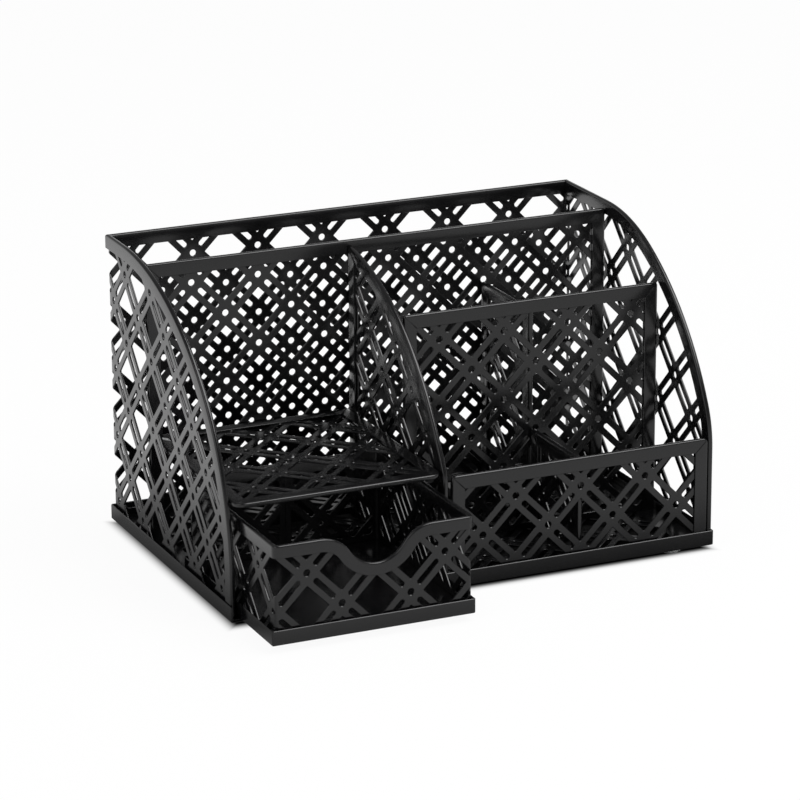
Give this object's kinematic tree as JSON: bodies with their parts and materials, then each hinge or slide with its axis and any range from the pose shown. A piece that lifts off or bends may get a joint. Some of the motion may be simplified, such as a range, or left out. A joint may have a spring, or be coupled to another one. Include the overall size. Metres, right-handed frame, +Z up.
{
  "type": "pen stand with drawer",
  "caption": "Punched steel desk organizer with curved side walls, upright dividers and a low drawer with a thumb scoop under a shelf.",
  "frame": {"origin": "on the desk, under the middle of the whole stand with its drawer drawn out as stored; the cabinet's own middle lies 17 mm behind it", "axes": "+X to the right as seen from the front, -Y to the front, where the drawer opens, +Z up"},
  "size_m": [0.22, 0.174, 0.1295],
  "materials": {
    "coated_steel": "satin black powder coat",
    "bumper": "soft translucent polyurethane"
  },
  "bodies": {
    "cabinet": {"base_pan": "coated_steel", "base_floor": "coated_steel", "foot_front_left": "bumper", "foot_front_right": "bumper", "foot_rear_left": "bumper", "foot_rear_right": "bumper", "back_wall": "coated_steel", "back_wall_edging": "coated_steel", "left_wall": "coated_steel", "left_wall_edging": "coated_steel", "right_wall": "coated_steel", "right_wall_edging": "coated_steel", "rear_divider": "coated_steel", "rear_divider_edging": "coated_steel", "front_divider": "coated_steel", "front_divider_edging": "coated_steel", "centre_divider": "coated_steel", "centre_divider_edging": "coated_steel", "front_panel": "coated_steel", "front_panel_edging": "coated_steel", "rear_cross_divider": "coated_steel", "rear_cross_divider_edging": "coated_steel", "front_cross_divider": "coated_steel", "front_cross_divider_edging": "coated_steel", "drawer_shelf": "coated_steel", "drawer_shelf_edging": "coated_steel"},
    "drawer": {"drawer_pan": "coated_steel", "drawer_floor": "coated_steel", "drawer_front": "coated_steel", "drawer_front_edging": "coated_steel", "drawer_back": "coated_steel", "drawer_back_edging": "coated_steel", "drawer_left_side": "coated_steel", "drawer_left_edging": "coated_steel", "drawer_right_side": "coated_steel", "drawer_right_edging": "coated_steel"}
  },
  "joints": [
    {"name": "drawer_slide", "type": "slide", "parent": "cabinet", "child": "drawer", "axis": [0, -1, 0], "range_m": [-0.034, 0.047]}
  ]
}
